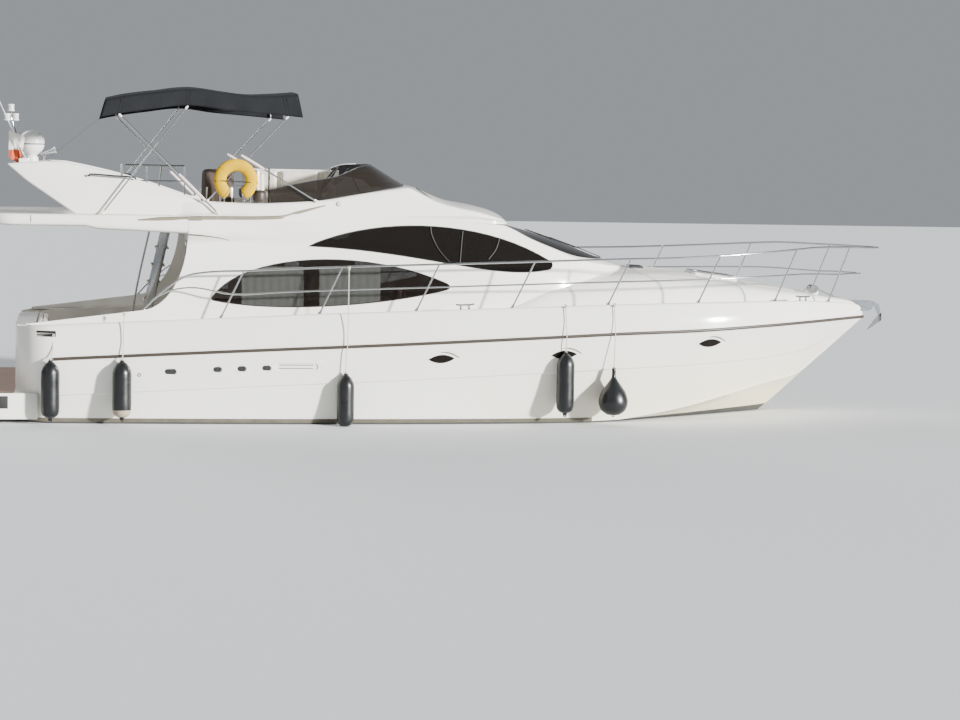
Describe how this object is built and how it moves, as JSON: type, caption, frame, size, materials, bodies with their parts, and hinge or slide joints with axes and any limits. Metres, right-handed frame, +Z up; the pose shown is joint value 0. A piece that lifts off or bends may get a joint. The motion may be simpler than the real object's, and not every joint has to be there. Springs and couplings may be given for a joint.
{
  "type": "flybridge motor yacht",
  "caption": "Twin-screw planing motor yacht afloat, with saloon, raised flybridge under a fabric bimini, swept arch, guard rails, swim platform and fenders hung out to starboard",
  "frame": {"origin": "on the centreline at the waterline, half way along the hull moulding", "axes": "+X forward to the bow, +Y to port, +Z up"},
  "size_m": [13.372, 4.3388, 5.4497],
  "materials": {
    "gelcoat": "gloss",
    "rail_brown": "satin",
    "teak": "oiled",
    "smoked_glass": "tinted",
    "stainless": "polished",
    "bronze": "machined",
    "canvas": "woven",
    "vinyl": "soft",
    "fender_rubber": "satin",
    "buoy_yellow": "satin",
    "wheel_rubber": "matte",
    "engine_iron": "painted",
    "galvanised": "dull",
    "joinery": "varnished"
  },
  "bodies": {
    "boat": {"hull": "gelcoat", "engine_stbd": "engine_iron", "engine_port": "engine_iron", "deck": "gelcoat", "sole": "teak", "rub_rail": "rail_brown", "deckhouse": "gelcoat", "saloon_window_stbd": "smoked_glass", "pilot_window_stbd": "smoked_glass", "saloon_window_port": "smoked_glass", "pilot_window_port": "smoked_glass", "windscreen": "smoked_glass", "flybridge": "gelcoat", "radar_arch": "gelcoat", "shaft_bracket_stbd": "bronze", "shaft_bracket_port": "bronze", "deflector": "smoked_glass", "bimini_canopy": "canvas", "bimini_frame": "stainless", "guard_rail_stbd": "stainless", "guard_rail_port": "stainless", "pulpit": "stainless", "swim_platform": "gelcoat", "fly_console": "gelcoat", "fly_seats": "vinyl", "fly_settee": "vinyl", "fly_stairs": "stainless", "cockpit_bench": "vinyl", "saloon_units": "joinery", "anchor": "galvanised", "fender_1": "fender_rubber", "fender_2": "fender_rubber", "fender_3": "fender_rubber", "fender_4": "fender_rubber", "fender_5": "fender_rubber", "horseshoe_buoy": "buoy_yellow"},
    "propeller_stbd": {"propeller_stbd": "bronze"},
    "propeller_port": {"propeller_port": "bronze"},
    "rudder_stbd": {"rudder_stbd": "bronze"},
    "rudder_port": {"rudder_port": "bronze"},
    "fly_wheel": {"fly_wheel": "wheel_rubber"},
    "saloon_door": {"saloon_door": "smoked_glass"},
    "transom_gate": {"transom_gate": "gelcoat"},
    "deck_hatch": {"deck_hatch": "smoked_glass"},
    "boarding_ladder": {"boarding_ladder": "stainless"}
  },
  "joints": [
    {"name": "propeller_stbd_spin", "type": "hinge", "parent": "boat", "child": "propeller_stbd", "pos_m": [-5.23, -0.64, -0.76], "axis": [0.9859, 0, 0.1676], "continuous": true},
    {"name": "propeller_port_spin", "type": "hinge", "parent": "boat", "child": "propeller_port", "pos_m": [-5.23, 0.64, -0.76], "axis": [0.9859, 0, 0.1676], "continuous": true},
    {"name": "fly_wheel_turn", "type": "hinge", "parent": "boat", "child": "fly_wheel", "pos_m": [-1.815, -0.56, 3.235], "axis": [-0.8139, 0, 0.581], "range_deg": [-360, 360]},
    {"name": "rudder_stbd_turn", "type": "hinge", "parent": "boat", "child": "rudder_stbd", "pos_m": [-5.66, -0.64, -0.7], "axis": [0, 0, 1], "range_deg": [-35, 35]},
    {"name": "rudder_port_turn", "type": "hinge", "parent": "boat", "child": "rudder_port", "pos_m": [-5.66, 0.64, -0.7], "axis": [0, 0, 1], "range_deg": [-35, 35]},
    {"name": "saloon_door_slide", "type": "slide", "parent": "boat", "child": "saloon_door", "axis": [0, 1, 0], "range_m": [0, 0.7]},
    {"name": "transom_gate_swing", "type": "hinge", "parent": "boat", "child": "transom_gate", "pos_m": [-5.942, 1.352, 0.98], "axis": [0, 0, -1], "range_deg": [0, 95]},
    {"name": "deck_hatch_lift", "type": "hinge", "parent": "boat", "child": "deck_hatch", "pos_m": [4.026, 0, 1.9521], "axis": [0, 1, 0], "range_deg": [0, 75]},
    {"name": "boarding_ladder_fold", "type": "hinge", "parent": "boat", "child": "boarding_ladder", "pos_m": [-7.072, -0.72, 0.444], "axis": [0, -1, 0], "range_deg": [0, 260]}
  ],
  "couplings": [
    {"joint": "rudder_stbd_turn", "follows": "fly_wheel_turn", "ratio": 0.0972},
    {"joint": "rudder_port_turn", "follows": "fly_wheel_turn", "ratio": 0.0972}
  ]
}
